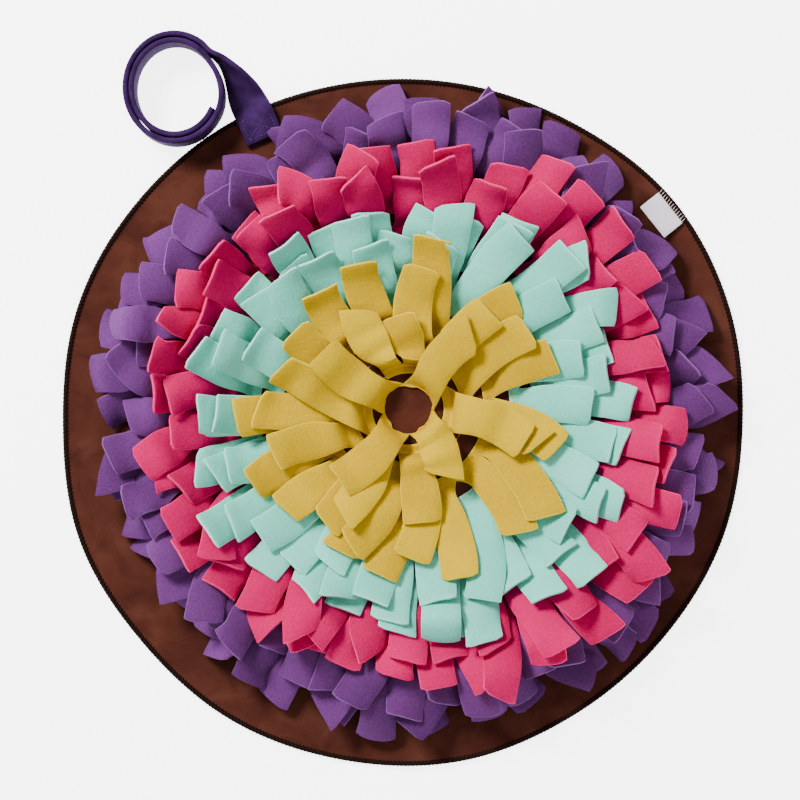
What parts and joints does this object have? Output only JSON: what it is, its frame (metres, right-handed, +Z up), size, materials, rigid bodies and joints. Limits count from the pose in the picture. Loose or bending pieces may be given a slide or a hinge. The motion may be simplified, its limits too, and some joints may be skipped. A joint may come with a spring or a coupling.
{
  "type": "snuffle mat",
  "caption": "Round cloth snuffle mat: ringed rows of fleece strips sewn on a base cloth, with a coiled webbing strap at its rim.",
  "frame": {"origin": "middle of the base cloth's underside, on the floor", "axes": "+Z up out of the strips; +Y towards the side that the strap lies at"},
  "size_m": [0.4484, 0.481, 0.0571],
  "materials": {
    "base_velour": "short brown nap",
    "fleece_yellow": "matt fleece",
    "fleece_mint": "matt fleece",
    "fleece_pink": "matt fleece",
    "fleece_purple": "matt fleece",
    "strap_webbing": "woven webbing",
    "label_tape": "smooth woven tape"
  },
  "bodies": {
    "root": {"base": "base_velour", "yellow_row_1": "fleece_yellow", "yellow_row_2": "fleece_yellow", "yellow_row_3": "fleece_yellow", "yellow_row_4": "fleece_yellow", "mint_row_1": "fleece_mint", "mint_row_2": "fleece_mint", "mint_row_3": "fleece_mint", "pink_row_1": "fleece_pink", "pink_row_2": "fleece_pink", "purple_row_1": "fleece_purple", "purple_row_2": "fleece_purple", "strap": "strap_webbing", "label": "label_tape"}
  },
  "joints": []
}
